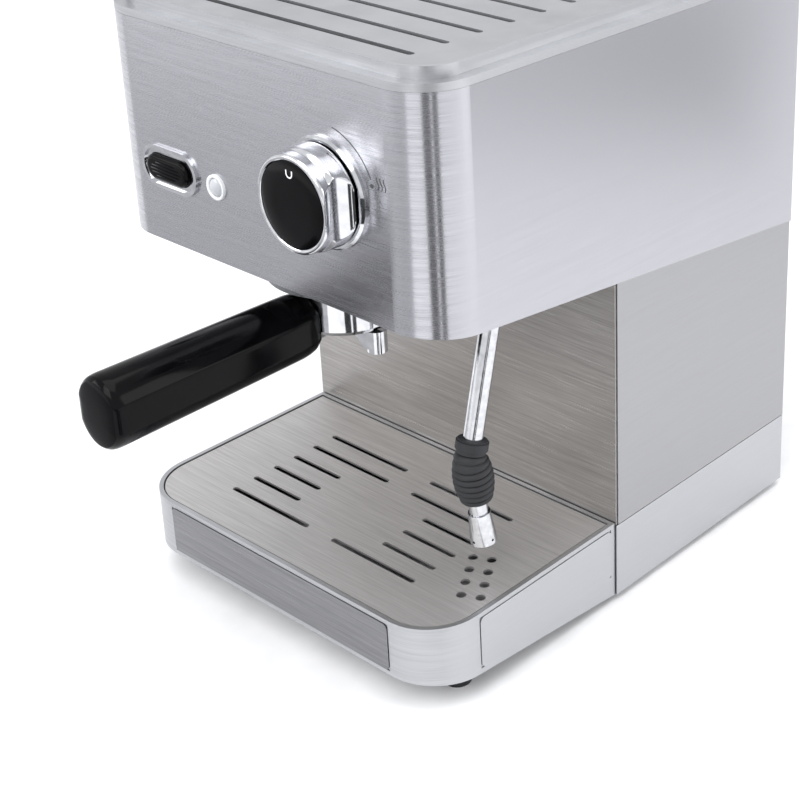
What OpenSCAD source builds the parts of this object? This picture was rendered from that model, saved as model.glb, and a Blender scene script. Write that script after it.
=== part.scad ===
// Pump espresso machine: a flat cube head over an open cup space, a drip tray in front of the
// column, a bayonet portafilter, a steam wand on the right and a water tank at the back.
// Frame: X to the right seen from the front, Y to the back, Z up, origin on the table
// under the middle of the whole plan. Lengths along the depth are given from the tray's front edge.

/* [Body] */
// Width of the column and the base
body_w = 232; // [225:1:245]
// Depth from the tray's front edge to the back
body_d = 290; // [285:1:300]
// Height of the warming deck above the table
body_h = 322; // [318:1:335]
// Wall of the plastic shells
wall = 2.4; // [2:0.1:3]
// Thickness of the head's steel skin
skin = 1.2; // [0.8:0.1:2]
// Slope of the seam under the head
seam_slope = 6; // [5:0.5:7]
// Height of the head's lower front edge
head_z = 202; // [200:1:204]
// Plan radius of the head's front corners
head_r = 27; // [22:1:34]

/* [Tray] */
// Width of the drip tray
tray_w = 230; // [224:1:232]
// Depth of the drip tray
tray_d = 135; // [133:1:136]
// Height of the tray's rim above the table
tray_z = 48.8; // [47:0.2:50]
// Plan radius of the tray's front corners
tray_r = 30; // [24:1:34]
// Width of a drain slot
slot_w = 3.3; // [2.5:0.1:4]
// Spacing of the rows of slots
slot_pitch = 14.4; // [13:0.1:15]

/* [Brewing] */
// Distance of the brew axis behind the tray's front edge
brew_y = 60; // [56:1:64]
// Radius of the portafilter bowl
bowl_r = 29; // [28:0.5:29.5]
// Distance of each spout from the brew axis
spout_x = 22; // [18:1:24]
// How far the handle's end stands in front of the tray
reach = 90; // [80:1:100]

/* [Controls] */
// Sideways place of the selector knob
knob_x = 50; // [46:1:54]
// Height of the selector knob
knob_z = 260.3; // [258:0.1:264]
// Radius of the knob's rim
knob_r = 22.7; // [20:0.1:24]

/* [Steam] */
// Sideways place of the steam wand
wand_x = 90; // [86:1:92]
// Radius of the wand's tube
wand_r = 5; // [4:0.1:5.5]
// Largest radius of the rubber grip
grip_r = 10.4; // [9:0.1:11]

/* [Hidden] */
$fn = 72;
eps = 0.01;
elbow = 0.5;                             // how much fatter an elbow is than its pipe
gap = 0.3;                               // running gap between moving neighbours
foot_h = 4;                              // rubber feet under the base
front_y = 10.5;                          // face of the head behind the tray's front edge
column_y = 135.6;                        // face of the column
base_top = 47.2;                         // seam between base and column
head_w = body_w + 2;
chin_z = 16.5;                           // lower edge of the tray's front
chin_slope = atan((chin_z - foot_h) / tray_d);
gland_out = 8;                           // how far the cord's gland stands out behind
plan_mid = (body_d + gland_out - reach) / 2;
bay_y = 222;                             // front of the tank bay
ring_z = 191.5;                          // underside of the group ring
ring_r = 38.6;
handle_z = 171;                          // axis of the portafilter handle
spout_z = 151.5;                         // mouths of the spouts
bowl_z = 165.5;                          // underside of the bowl
bowl_top = 200;                          // rim of the bowl, locked
lug_z = 195.5;
boiler_z = 203.4;
boiler_split = 224;
knob_out = 20.5;                         // how far the knob stands off the panel
button_x = -66;
button_z = 243;
lamp_x = -30.4;
lamp_z = 242.6;
ball_y = 75;                             // centre of the wand's ball
ball_z = 194;
ball_r = 9;
bend_y = 54.9;                           // where the wand bends inside its grip
bend_z = 116.6;
tip_y = 62.3;                            // mouth of the wand
tip_z = 64.8;
seat_at = [-30, 245];                    // tank seat
bay_z = 57.4;                            // floor of the tank bay
tank_w = 214;
tank_z = 60;
pump_z = 96;
pump_y = 176;
steel = "#B4B4B8";
bright = "#D8D8DC";
silver = "#C4C8CC";
black = "#1C1C1E";

// ---- helpers -------------------------------------------------------------------------------

// Children drawn with Y counted from the tray's front edge.
module from_front() translate([0, -plan_mid, 0]) children();

// Height of the slanted seam under the head, d behind the tray's front edge.
function seam(d) = head_z - (d - front_y) * tan(seam_slope);

// Height of the tray's slanted lower edge.
function chin(d) = chin_z - d * tan(chin_slope);

// Plan of a box with two rounded front corners, its front at y0.
module front_plan(w, y0, y1, r) {
    translate([-w / 2, y0 + r]) square([w, y1 - y0 - r]);
    translate([-w / 2 + r, y0]) square([w - 2 * r, y1 - y0]);
    for (s = [-1, 1]) translate([s * (w / 2 - r), y0 + r]) circle(r);
}

// Rectangle with four rounded corners about the origin.
module round_rect(w, d, r) {
    square([w - 2 * r, d], center = true);
    square([w, d - 2 * r], center = true);
    for (x = [-1, 1], y = [-1, 1]) translate([x * (w / 2 - r), y * (d / 2 - r)]) circle(r);
}

// Slot with round ends along X about the origin.
module stadium(l, w) {
    square([l - w, w], center = true);
    for (s = [-1, 1]) translate([s * (l - w) / 2, 0]) circle(w / 2);
}

// Everything above the head's slanted seam, lifted by up.
module above_seam(up = 0) {
    translate([-200, 0, 0]) rotate([90, 0, 90]) linear_extrude(400)
        polygon([[-20, seam(-20) + up], [320, seam(320) + up], [320, 400], [-20, 400]]);
}

// Everything above the tray's slanted lower edge.
module above_chin(up = 0) {
    translate([-200, 0, 0]) rotate([90, 0, 90]) linear_extrude(400)
        polygon([[-20, chin(-20) + up], [tray_d + 2, chin(tray_d + 2) + up], [tray_d + 2, 100], [-20, 100]]);
}

// Rod of radius r between two points.
module rod(a, b, r) {
    v = b - a;
    l = norm(v);
    translate(a) rotate([0, acos(v[2] / l), atan2(v[1], v[0])]) cylinder(r = r, h = l);
}

// Pipe through a list of points, with ball elbows a little fatter than the pipe.
module pipe(points, r, sides = 48) {
    for (i = [0 : len(points) - 2]) rod(points[i], points[i + 1], r, $fn = sides);
    for (i = [1 : len(points) - 2]) translate(points[i]) rotate([37, 21, 0])
        sphere(r + elbow, $fn = sides);
}

// Machine screw along +Z with its head's underside at the origin and its shank below.
module screw(r, l) {
    difference() {
        cylinder(r = 2 * r, h = r * 1.2, $fn = 24);
        translate([0, 0, r * 0.5]) cylinder(r = r, h = r, $fn = 6);
    }
    translate([0, 0, -l]) cylinder(r = r, h = l + eps, $fn = 24);
}

// ---- housing -------------------------------------------------------------------------------

foot_spots = [[-96, 34], [96, 34], [-100, 266], [100, 266]];
screw_spots = [for (x = [-107, 107], y = [150, 278]) [x, y]];

module base_pan() color(silver) from_front() {
    difference() {
        translate([-body_w / 2, tray_d + 0.6, foot_h]) cube([body_w, body_d - tray_d - 0.6, base_top - foot_h]);
        translate([-body_w / 2 + wall, tray_d + 0.6 + wall, foot_h + wall])
            cube([body_w - 2 * wall, body_d - tray_d - 0.6 - 2 * wall, base_top]);
        for (p = [foot_spots[2], foot_spots[3]]) translate([p[0], p[1], 0]) cylinder(r = 3.05, h = 20);
        for (p = screw_spots) translate([p[0], p[1], 0]) cylinder(r = 2.3, h = 20);
        // window for the rear cover
        translate([-60, body_d - wall - 1, 8.4]) cube([120, wall + 2, 60]);
    }
    // tongue that carries the tray, hollow underneath
    intersection() {
        above_chin(0.6);
        difference() {
            linear_extrude(21.4) front_plan(210, 8, tray_d + 0.7, 24);
            for (x = [-102, -50.5, 1, 52.5]) intersection() {
                translate([x, 11, 0]) cube([49.5, tray_d - 15, 18.6]);
                linear_extrude(18.6) front_plan(204, 11, tray_d, 21);
            }
        }
    }
}

module feet() color(black) from_front() {
    for (i = [0, 1]) translate([foot_spots[i][0], foot_spots[i][1], 0]) {
        cylinder(r = 5, h = 18.5);
        cylinder(r = 7, h = 6);
    }
    for (i = [2, 3]) translate([foot_spots[i][0], foot_spots[i][1], 0]) {
        cylinder(r = 9, h = foot_h);
        cylinder(r = 3, h = 8);
    }
}

module column_shell() color(silver) from_front() {
    inner_w = body_w - 2 * wall;
    difference() {
        union() {
            translate([-body_w / 2, column_y + 1.4, base_top + 0.4])
                cube([body_w, body_d - column_y - 1.4, 270 - base_top]);
            // posts that reach down to the base's screws
            for (p = screw_spots) translate([p[0], p[1], foot_h + wall + 0.1]) cylinder(r = 6, h = 60);
        }
        difference() {
            union() {
                translate([-inner_w / 2, column_y - 1, 0]) cube([inner_w, bay_y - wall - column_y + 1, 400]);
                translate([-inner_w / 2, bay_y, bay_z]) cube([inner_w, body_d - wall - bay_y, 400]);
                translate([-inner_w / 2, bay_y, 0]) cube([inner_w, body_d - wall - bay_y, bay_z - wall]);
            }
            for (p = screw_spots) translate([p[0] - 7.5, p[1] - 6, 0]) cube([15, 12, 55]);
        }
        for (p = screw_spots) translate([p[0], p[1], 0]) cylinder(r = 2.05, h = 24);
        above_seam(-0.4);
        // way for the tank seat
        translate([seat_at[0], seat_at[1], 50]) cylinder(r = 8, h = 20);
        // window behind the rear cover
        translate([-60, body_d - wall - 1, 4]) cube([120, wall + 2, 49]);
    }
    // wall between the works and the tank, up into the head
    difference() {
        translate([-head_w / 2 + 5, bay_y - wall, 100]) cube([head_w - 10, wall, body_h - 109]);
        translate([-150, bay_y - 5, 0]) cube([300, 10, seam(bay_y) - 1]);
    }
    // rails that the tank stands on
    for (x = [-80, 68]) translate([x, bay_y - eps, bay_z - eps]) cube([12, body_d - wall - bay_y, tank_z + 0.9 - bay_z]);
}

module column_plate() color("#8F8B88") from_front() {
    difference() {
        translate([-body_w / 2 + 0.6, column_y, base_top + 0.4]) cube([body_w - 1.2, 1.2, 150]);
        above_seam(-0.2);
    }
}

module head_shell() color(steel) from_front() {
    intersection() {
        difference() {
            translate([0, 0, 160]) linear_extrude(body_h - 4 - 160) front_plan(head_w, front_y, body_d, head_r);
            translate([0, 0, 150]) linear_extrude(300)
                front_plan(head_w - 2 * skin, front_y + skin, body_d - skin, head_r - skin);
            // holes behind the knob, the button and the lamp
            translate([knob_x, front_y + skin + 1, knob_z]) rotate([90, 0, 0]) cylinder(r = 9, h = skin + 2);
            translate([button_x, front_y + skin + 1, button_z]) rotate([90, 0, 0])
                linear_extrude(skin + 2) stadium(36.6, 17.6);
            translate([lamp_x, front_y + skin + 1, lamp_z]) rotate([90, 0, 0]) cylinder(r = 5.2, h = skin + 2);
        }
        above_seam();
    }
}

module head_floor() color(black) from_front() {
    difference() {
        intersection() {
            translate([0, 0, 160]) linear_extrude(60)
                front_plan(head_w - 2 * skin - 0.4, front_y + skin + 0.2, bay_y - 6, head_r - skin - 0.2);
            above_seam(3);
            difference() {
                translate([-200, 0, 0]) cube([400, 300, 300]);
                above_seam(5.6);
            }
        }
        translate([0, brew_y, 150]) cylinder(r = ring_r + 2.2, h = 80);
        translate([wand_x, ball_y, 150]) cylinder(r = 14.2, h = 80);
        // way up from the column for hoses and wires
        translate([-96, column_y + 12, 150]) cube([192, 60, 80]);
    }
}

module warming_deck() color(bright) from_front() {
    top = body_h - 4;
    difference() {
        union() {
            translate([0, 0, top + 0.1]) linear_extrude(3.9) front_plan(head_w, front_y, bay_y - 1, head_r);
            translate([0, 0, top - 8]) linear_extrude(8.2)
                front_plan(head_w - 2 * skin - 0.6, front_y + skin + 0.3, bay_y - 4, head_r - skin - 0.3);
            // raised guard round the cups
            translate([0, 0, top + 3.9]) linear_extrude(6) difference() {
                front_plan(head_w - 12, front_y + 6, bay_y - 8, head_r - 6);
                front_plan(head_w - 16, front_y + 8, bay_y - 10, head_r - 8);
            }
        }
        translate([0, 0, top - 9]) linear_extrude(10.2)
            front_plan(head_w - 2 * skin - 5, front_y + skin + 2.5, bay_y - 6.2, head_r - skin - 2.5);
        // vent slots between the cups
        for (i = [0 : 6]) translate([0, 45 + i * 22, top - 5]) linear_extrude(20) stadium(150, 4);
    }
}

module rear_cover() color("#9A9CA0") from_front() {
    difference() {
        translate([-59.7, body_d - wall, 8.6]) cube([119.4, wall - 0.2, 44]);
        translate([-34, body_d + 1, 28]) rotate([90, 0, 0]) cylinder(r = 7.1, h = 6);
        for (i = [0 : 5]) translate([4 + i * 8, body_d - 4, 18]) cube([3, 6, 24]);
    }
}

module case_screws() color("#A0A0A4") from_front()
    for (p = screw_spots) translate([p[0], p[1], foot_h - 0.05]) {
        translate([0, 0, -2]) cylinder(r = 4, h = 2, $fn = 24);
        cylinder(r = 2, h = 18, $fn = 24);
    }

// ---- drip tray -----------------------------------------------------------------------------

module drip_tray() color(silver) from_front() {
    difference() {
        intersection() {
            linear_extrude(tray_z) front_plan(tray_w, 0, tray_d, tray_r);
            above_chin();
        }
        // basin
        translate([0, 0, 24.2]) linear_extrude(40)
            front_plan(tray_w - 2 * wall - 7, wall + 3.5, tray_d - wall - 2, tray_r - wall - 3.5);
        // seat of the drip plate
        translate([0, 0, tray_z - 4.8]) linear_extrude(20)
            front_plan(tray_w - 2 * wall, wall, tray_d - wall, tray_r - wall);
        // room for the tongue underneath, open to the back
        translate([0, 0, -1]) linear_extrude(22.6)
            front_plan(tray_w - 2 * wall, wall, tray_d + 1, tray_r - wall);
        // seats of the trim plates
        translate([-84, -1, chin_z + 2.5]) cube([168, 1.6, tray_z - chin_z - 5]);
        for (s = [-1, 1]) translate([s * tray_w / 2 - 0.6, tray_r + 2, 16.5])
            cube([1.2, tray_d - tray_r - 5, tray_z - 19]);
    }
}

module tray_front_plate() color("#909094") from_front()
    translate([0, 0.55, (chin_z + tray_z) / 2]) rotate([90, 0, 0])
        linear_extrude(1) round_rect(167.4, tray_z - chin_z - 5.6, 3);

module tray_side_plates() color("#CDD5DF") from_front()
    for (s = [-1, 1]) translate([s * (tray_w / 2 - 0.05), (tray_r + tray_d) / 2 - 0.5, 16.8 + (tray_z - 19.6) / 2])
        rotate([90, 0, 90]) translate([0, 0, -0.5]) linear_extrude(1)
            round_rect(tray_d - tray_r - 5.6, tray_z - 19.6, 3);

// Drain holes under the wand: two columns along a slanting line.
hole_spots = [for (i = [0 : 3], j = [0, 1]) [78.1 + 6.1 * i + 9.2 * j, 65.8 - 9.1 * i + 4.2 * j]];

module drip_plate() color("#A9A7A6") from_front() {
    inset = wall + 0.8;
    difference() {
        union() {
            translate([0, 0, tray_z - 1.7]) linear_extrude(1.2)
                front_plan(tray_w - 2 * inset, inset, tray_d - inset, tray_r - inset);
            translate([0, 0, tray_z - 4.6]) linear_extrude(3) difference() {
                front_plan(tray_w - 2 * inset, inset, tray_d - inset, tray_r - inset);
                front_plan(tray_w - 2 * inset - 2, inset + 1, tray_d - inset - 1, tray_r - inset - 1);
            }
        }
        for (row = [0 : 5], s = [-1, 1]) {
            short = row > 0 && row < 4;
            inner = short ? 32.7 : 9.3;
            translate([s * (inner + 70.5) / 2, 31.5 + slot_pitch * row, tray_z - 5]) linear_extrude(8)
                stadium(70.5 - inner, slot_w);
        }
        for (p = hole_spots) translate([p[0], p[1], tray_z - 5]) cylinder(r = 2.6, h = 8);
    }
}

// ---- group and boiler ----------------------------------------------------------------------

// Children turned about the brew axis.
module brew_axis() from_front() translate([0, brew_y, 0]) children();

module group_ring() color("#6E7074") brew_axis() difference() {
    translate([0, 0, ring_z]) cylinder(r = ring_r, h = 11.7);
    translate([0, 0, ring_z - 1]) cylinder(r = bowl_r + 1.2, h = 20);
    // track for the lugs
    translate([0, 0, lug_z - 0.6]) cylinder(r = 35.4, h = 5.4);
    // entries where the lugs drop in, turned away from the locked place
    for (a = [-52, 128]) rotate([0, 0, a]) translate([0, -7.5, ring_z - 1]) cube([35.4, 15, 8]);
    for (a = [20 : 90 : 290]) rotate([0, 0, a]) translate([36.9, 0, ring_z + 3]) cylinder(r = 1.3, h = 12);
}

module group_bolts() color("#90949A") brew_axis()
    for (a = [20 : 90 : 290]) rotate([0, 0, a]) translate([36.9, 0, 0]) {
        translate([0, 0, ring_z + 4.2]) cylinder(r = 1.2, h = 13, $fn = 24);
        translate([0, 0, ring_z + 17.2]) cylinder(r = 2.2, h = 2, $fn = 6);
    }

module group_gasket() color("#3A2A22") brew_axis() translate([0, 0, bowl_top + 0.3]) difference() {
    cylinder(r = 30, h = 2.9);
    translate([0, 0, -1]) cylinder(r = 25.4, h = 6);
}

module shower_screen() color(bright) brew_axis() translate([0, 0, bowl_top - 1.2]) difference() {
    cylinder(r = 24.2, h = 2);
    translate([0, 0, 0.8]) cylinder(r = 22.4, h = 2);
    translate([0, 0, -1]) cylinder(r = 2.2, h = 4);
    for (k = [1 : 3], a = [0 : 30 : 330]) rotate([0, 0, a + 10 * k])
        translate([5.6 * k, 0, -1]) cylinder(r = 0.8, h = 4, $fn = 16);
}

module shower_screw() color("#90949A") brew_axis() {
    translate([0, 0, bowl_top - 2.6]) cylinder(r = 4, h = 1.3, $fn = 24);
    translate([0, 0, bowl_top - 1.4]) cylinder(r = 2, h = 6.4, $fn = 24);
}

module boiler_lower() color("#9EA2A6") brew_axis() difference() {
    union() {
        translate([0, 0, boiler_z]) cylinder(r = 40.4, h = boiler_split - boiler_z);
        translate([0, 0, bowl_top + 1]) cylinder(r = 21.6, h = boiler_z - bowl_top - 1 + eps);
    }
    translate([0, 0, boiler_z + 8]) cylinder(r = 30, h = 20);
    translate([0, 0, bowl_top]) cylinder(r = 2.1, h = 5.2);
    for (a = [20 : 90 : 290]) rotate([0, 0, a]) translate([36.9, 0, boiler_z - 1]) cylinder(r = 1.4, h = 6.4);
    for (a = [20 : 90 : 290]) rotate([0, 0, a]) translate([36.9, 0, boiler_z + 5]) cylinder(r = 3, h = 20);
    for (a = [65 : 90 : 335]) rotate([0, 0, a]) translate([35.4, 0, boiler_z + 6]) cylinder(r = 1.7, h = 20);
}

module boiler_seal() color("#B04A2A") brew_axis() translate([0, 0, boiler_split + 0.05]) difference() {
    cylinder(r = 32.6, h = 1.4);
    translate([0, 0, -1]) cylinder(r = 30, h = 4);
}

module boiler_upper() color("#9EA2A6") brew_axis() difference() {
    union() {
        translate([0, 0, boiler_split + 1.5]) cylinder(r = 40.4, h = 6);
        translate([0, 0, boiler_split + 1.5]) cylinder(r = 32, h = 18);
    }
    translate([0, 0, boiler_split]) cylinder(r = 28.6, h = 16.5);
    for (a = [65 : 90 : 335]) rotate([0, 0, a]) translate([35.4, 0, boiler_split]) cylinder(r = 1.7, h = 20);
    translate([0, 20, boiler_split + 10]) cylinder(r = 3.1, h = 20);
    translate([14, -14, boiler_split + 10]) cylinder(r = 2.6, h = 20);
}

module boiler_bolts() color("#90949A") brew_axis()
    for (a = [65 : 90 : 335]) rotate([0, 0, a]) translate([35.4, 0, boiler_split + 7.6]) screw(1.6, 18);

module heating_element() color("#7C5A44") brew_axis() {
    translate([0, 0, boiler_z + 13]) difference() {
        rotate_extrude() translate([22, 0]) circle(3.2, $fn = 24);
        translate([-4, -40, -10]) cube([8, 40, 20]);
    }
}

module thermostats() color("#2A2A2C") brew_axis()
    for (x = [-19, 1]) translate([x, -4, boiler_split + 19.55]) {
        cylinder(r = 8, h = 4);
        translate([0, 0, 4]) cylinder(r = 5.5, h = 5);
        for (s = [-1, 1]) translate([s * 4 - 0.4, -1.6, 8.9]) cube([0.8, 3.2, 6]);
    }

// ---- portafilter ---------------------------------------------------------------------------

module portafilter_bowl() color("#C9C9CC") brew_axis() {
    difference() {
        union() {
            rotate_extrude() polygon([[0, bowl_z], [bowl_r - 3, bowl_z], [bowl_r, bowl_z + 3],
                                      [bowl_r, bowl_top], [0, bowl_top]]);
            // bayonet lugs
            for (a = [0, 180]) rotate([0, 0, a]) intersection() {
                translate([0, -6.5, lug_z]) cube([40, 13, 3.8]);
                translate([0, 0, lug_z]) cylinder(r = 34.6, h = 4);
            }
            // neck for the handle
            translate([0, 8 - bowl_r, handle_z]) rotate([90, 0, 0]) cylinder(r = 11, h = 10.6);
            translate([0, 8 - bowl_r, handle_z]) rotate([90, 0, 0]) cylinder(r = 8, h = 22);
        }
        translate([0, 0, bowl_z + 4]) cylinder(r = bowl_r - 2.2, h = 40);
        translate([0, 0, bowl_z - 1]) cylinder(r = 3.5, h = 8);
        translate([0, -bowl_r - 3, handle_z]) rotate([90, 0, 0]) cylinder(r = 2.6, h = 20);
    }
}

module filter_basket() color(bright) brew_axis() difference() {
    union() {
        translate([0, 0, bowl_z + 8]) cylinder(r = 25.2, h = bowl_top - bowl_z - 7.78);
        translate([0, 0, bowl_top + 0.02]) cylinder(r = 28.4, h = 0.2);
    }
    translate([0, 0, bowl_z + 9]) cylinder(r = 24.6, h = 60);
    for (k = [0 : 3], a = [0 : 30 : 330]) rotate([0, 0, a + 8 * k])
        translate([4 + 5 * k, 0, bowl_z + 7]) cylinder(r = 0.5, h = 4, $fn = 14);
}

module double_spout() color("#C9C9CC") brew_axis() difference() {
    union() {
        translate([0, 0, bowl_z - 9]) cylinder(r = 7.5, h = 8.95);
        // saddle that leads out to both nozzles
        translate([0, 5.2, 0]) rotate([90, 0, 0]) linear_extrude(10.4) difference() {
            translate([-spout_x, spout_z + 2]) square([2 * spout_x, bowl_z - spout_z - 4]);
            translate([0, spout_z - 2]) scale([1, 0.62]) circle(spout_x - 3.6);
        }
        for (s = [-1, 1]) translate([s * spout_x, 0, spout_z]) cylinder(r = 5.2, h = 12);
    }
    for (s = [-1, 1]) translate([s * spout_x, 0, spout_z - 1]) cylinder(r = 3.4, h = 11);
    translate([-spout_x, 0, spout_z + 10.4]) rotate([0, 90, 0]) cylinder(r = 1.4, h = 2 * spout_x);
    translate([0, 0, bowl_z - 6]) cylinder(r = 3.2, h = 8);
}

handle_root = 33.4;                      // the handle's back end, from the tray's front edge

// Slice of the grip: an upright oval with flat sides, scaled by k.
module grip_slice(d, k, t = 0.4) translate([0, d + t, handle_z]) rotate([90, 0, 0]) linear_extrude(t)
    intersection() {
        scale([k * 16, k * 18.6]) circle(1, $fn = 40);
        square([k * 30.4, k * 40], center = true);
    }

module portafilter_handle() color(black) from_front() difference() {
    hull() {
        grip_slice(-reach, 0.8);
        grip_slice(-reach + 1.2, 0.92);
        grip_slice(-reach + 4, 1);
        grip_slice(handle_root - 5, 0.95);
        grip_slice(handle_root - 1.4, 0.86);
        grip_slice(handle_root - 0.4, 0.8);
    }
    // sockets for the neck and the bolt, and the hollow that hugs the bowl
    translate([0, handle_root + 1, handle_z]) rotate([90, 0, 0]) cylinder(r = 8.05, h = handle_root - 15.8);
    translate([0, handle_root + 1, handle_z]) rotate([90, 0, 0]) cylinder(r = 11.1, h = handle_root - 27.2);
    translate([0, handle_root + 1, handle_z]) rotate([90, 0, 0]) cylinder(r = 2.6, h = 90);
    translate([0, brew_y, bowl_z - 20]) cylinder(r = bowl_r + gap, h = 60);
}

module handle_bolt() color("#90949A") from_front()
    translate([0, brew_y - bowl_r - 3.2, handle_z]) rotate([90, 0, 0]) cylinder(r = 2.5, h = 70, $fn = 24);

// ---- controls ------------------------------------------------------------------------------

// Children on the front panel: local +Z points at the user.
module on_panel(x, z) from_front() translate([x, front_y, z]) rotate([90, 0, 0]) children();

module dial_ring() color(bright) on_panel(knob_x, knob_z) difference() {
    union() {
        rotate_extrude() polygon([[7.6, 0.05], [27.2, 0.05], [27.2, 1.4], [26.2, 2.6], [7.6, 2.6]]);
        translate([0, 0, -7]) cylinder(r = 8.6, h = 7.1);
    }
    translate([0, 0, -8]) cylinder(r = 5.2, h = 20);
}

module knob_body() color("#CFCFD3") on_panel(knob_x, knob_z) difference() {
    rotate_extrude() polygon([[0, 3.4], [24.4, 3.4], [25.2, 4.2], [24.8, 12.4], [23.6, 14.6],
                              [23.6, knob_out - 1.4], [knob_r, knob_out], [0, knob_out]]);
    // recess for the black disc
    translate([0, 0, knob_out - 1.6]) cylinder(r = 21.05, h = 4);
    // finger scoops on both sides
    for (s = [-1, 1]) translate([s * 32.6, 14, 12.4]) rotate([90, 0, 0]) cylinder(r = 13, h = 28);
    // socket for the spindle
    translate([0, 0, 2]) cylinder(r = 3.05, h = 12);
}

module knob_cap() color(black) on_panel(knob_x, knob_z)
    translate([0, 0, knob_out - 1.55]) cylinder(r = 21, h = 1.65);

module valve_spindle() color("#A89060") on_panel(knob_x, knob_z)
    translate([0, 0, -26]) cylinder(r = 3, h = 39.8);

module valve_body() color("#B59A5A") on_panel(knob_x, knob_z) difference() {
    union() {
        translate([0, 0, -38]) cylinder(r = 9, h = 30.8);
        translate([-12, -8, -34]) cube([24, 16, 14]);
        translate([0, 0, -30]) rotate([90, 0, 0]) cylinder(r = 5, h = 14);
    }
    translate([0, 0, -27]) cylinder(r = 3.05, h = 30);
    translate([0, 0, -30]) rotate([90, 0, 0]) cylinder(r = 2.6, h = 18);
}

module button_bezel() color(bright) on_panel(button_x, button_z) difference() {
    union() {
        translate([0, 0, 0.05]) linear_extrude(1.6) stadium(43, 22.6);
        translate([0, 0, -5]) linear_extrude(5.1) stadium(36.2, 17.2);
    }
    translate([0, 0, -8]) linear_extrude(12) stadium(33, 14.2);
    translate([0, 0, 0.6]) linear_extrude(3) stadium(39, 18.6);
}

module button_cap() color(black) on_panel(button_x, button_z) {
    translate([0, 0, -6]) linear_extrude(8.2) stadium(32.2, 13.4);
    translate([0, 0, 2.1]) linear_extrude(1.4) stadium(31, 12.2);
    translate([0, 0, 3.4]) linear_extrude(0.6) stadium(29.6, 10.8);
}

module switch_body() color("#303236") on_panel(button_x, button_z) difference() {
    translate([-19, -9.4, -30]) cube([38, 18.8, 24.8]);
    translate([0, 0, -9]) linear_extrude(10) stadium(33, 14.2);
}

module lamp_lens() color("#F2F4F6", 0.8) on_panel(lamp_x, lamp_z)
    rotate_extrude() polygon([[0, -6], [5, -6], [5, 0.05], [6.7, 0.05], [6.7, 1], [5.6, 1.7], [0, 1.9]]);

module lamp_holder() color(black) on_panel(lamp_x, lamp_z) difference() {
    translate([0, 0, -18]) cylinder(r = 7, h = 15.4);
    translate([0, 0, -6.1]) cylinder(r = 5.05, h = 10);
}

// ---- steam wand ----------------------------------------------------------------------------

tip_l = 19;                              // length of the wand's nozzle
ball_at = [wand_x, ball_y, ball_z];
bend_at = [wand_x, bend_y, bend_z];
tip_at = [wand_x, tip_y, tip_z];

// Point a distance d from a towards b.
function toward(a, b, d) = a + (b - a) * d / norm(b - a);

// Children with +Z along the wand's lower leg, pointing up, the mouth at the origin.
module along_tip() {
    v = bend_at - tip_at;
    translate(tip_at) rotate([-atan2(v[1], v[2]), 0, 0]) children();
}

module wand_socket() color("#6E7074") from_front() translate([wand_x, ball_y, 0]) difference() {
    translate([0, 0, ball_z - 3]) cylinder(r = 14, h = 13);
    translate([0, 0, ball_z]) sphere(ball_r + gap);
    translate([0, 0, ball_z - 4]) cylinder(r = 8.9, h = 4);
    translate([0, 0, ball_z]) cylinder(r = 6.4, h = 20);
}

module wand_tube() color(bright) from_front() difference() {
    union() {
        translate(ball_at) sphere(ball_r);
        rod(ball_at, toward(bend_at, ball_at, -1), wand_r);
        along_tip() translate([0, 0, tip_l + 0.1]) cylinder(r = wand_r - 0.2, h = norm(bend_at - tip_at) - tip_l + 1);
    }
    translate(ball_at) cylinder(r = 2.6, h = 20);
}

// Children with +Z along the wand's upper leg, pointing up, the bend at the origin.
module along_stem() {
    v = ball_at - bend_at;
    translate(bend_at) rotate([-atan2(v[1], v[2]), 0, 0]) children();
}

module wand_grip() color("#2A2A2C") from_front() {
    lower = 27;                          // where the grip starts above the mouth
    rings = 7;
    pitch = (norm(bend_at - tip_at) - lower) / rings;
    difference() {
        union() {
            along_tip() {
                for (i = [0 : rings - 1]) {
                    r = 6.8 + (grip_r - 6.8) * sin(110 * (i + 0.6) / rings);
                    translate([0, 0, lower + pitch * i]) cylinder(r = r, h = pitch * 0.62);
                }
                translate([0, 0, lower]) cylinder(r = 7.2, h = pitch * rings);
            }
            along_stem() {
                translate([0, 0, -1.5]) cylinder(r = grip_r - 1.2, h = 4.2);
                cylinder(r = 7.4, h = 7);
                translate([0, 0, 4.4]) cylinder(r = 8.4, h = 5.4);
            }
        }
        along_tip() translate([0, 0, lower - 1]) cylinder(r = wand_r - 0.15, h = pitch * rings + 1);
        along_stem() translate([0, 0, -0.5]) cylinder(r = wand_r + 0.05, h = 20);
        translate(bend_at) rotate([37, 21, 0]) sphere(wand_r + 0.7);
    }
}

module wand_tip() color(bright) from_front() along_tip() difference() {
    union() {
        rotate_extrude() polygon([[0, 0], [5.9, 0], [6.9, 1.2], [5.6, tip_l], [0, tip_l]]);
    }
    translate([0, 0, 3]) cylinder(r = 2.2, h = 20);
    for (a = [0 : 90 : 270]) rotate([0, 0, a]) translate([0, 0, 3.6]) rotate([0, 90, 0])
        cylinder(r = 0.7, h = 10, $fn = 16);
}

// ---- pump and water ------------------------------------------------------------------------

// Children with +Z along the pump, pointing up.
module pump_axis() from_front() translate([-30, pump_y, pump_z]) children();

module pump_body() color("#5A5E62") pump_axis() difference() {
    union() {
        cylinder(r = 12, h = 62);
        translate([-19, -17, 14]) cube([38, 34, 34]);
        translate([0, 0, -12]) cylinder(r = 5, h = 12.1);
        translate([0, 0, 62 - eps]) cylinder(r = 6, h = 12);
    }
    translate([0, 0, -13]) cylinder(r = 2.5, h = 18);
    translate([0, 0, 4]) cylinder(r = 9, h = 54);
    translate([0, 0, 57]) cylinder(r = 2.5, h = 20);
}

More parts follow.
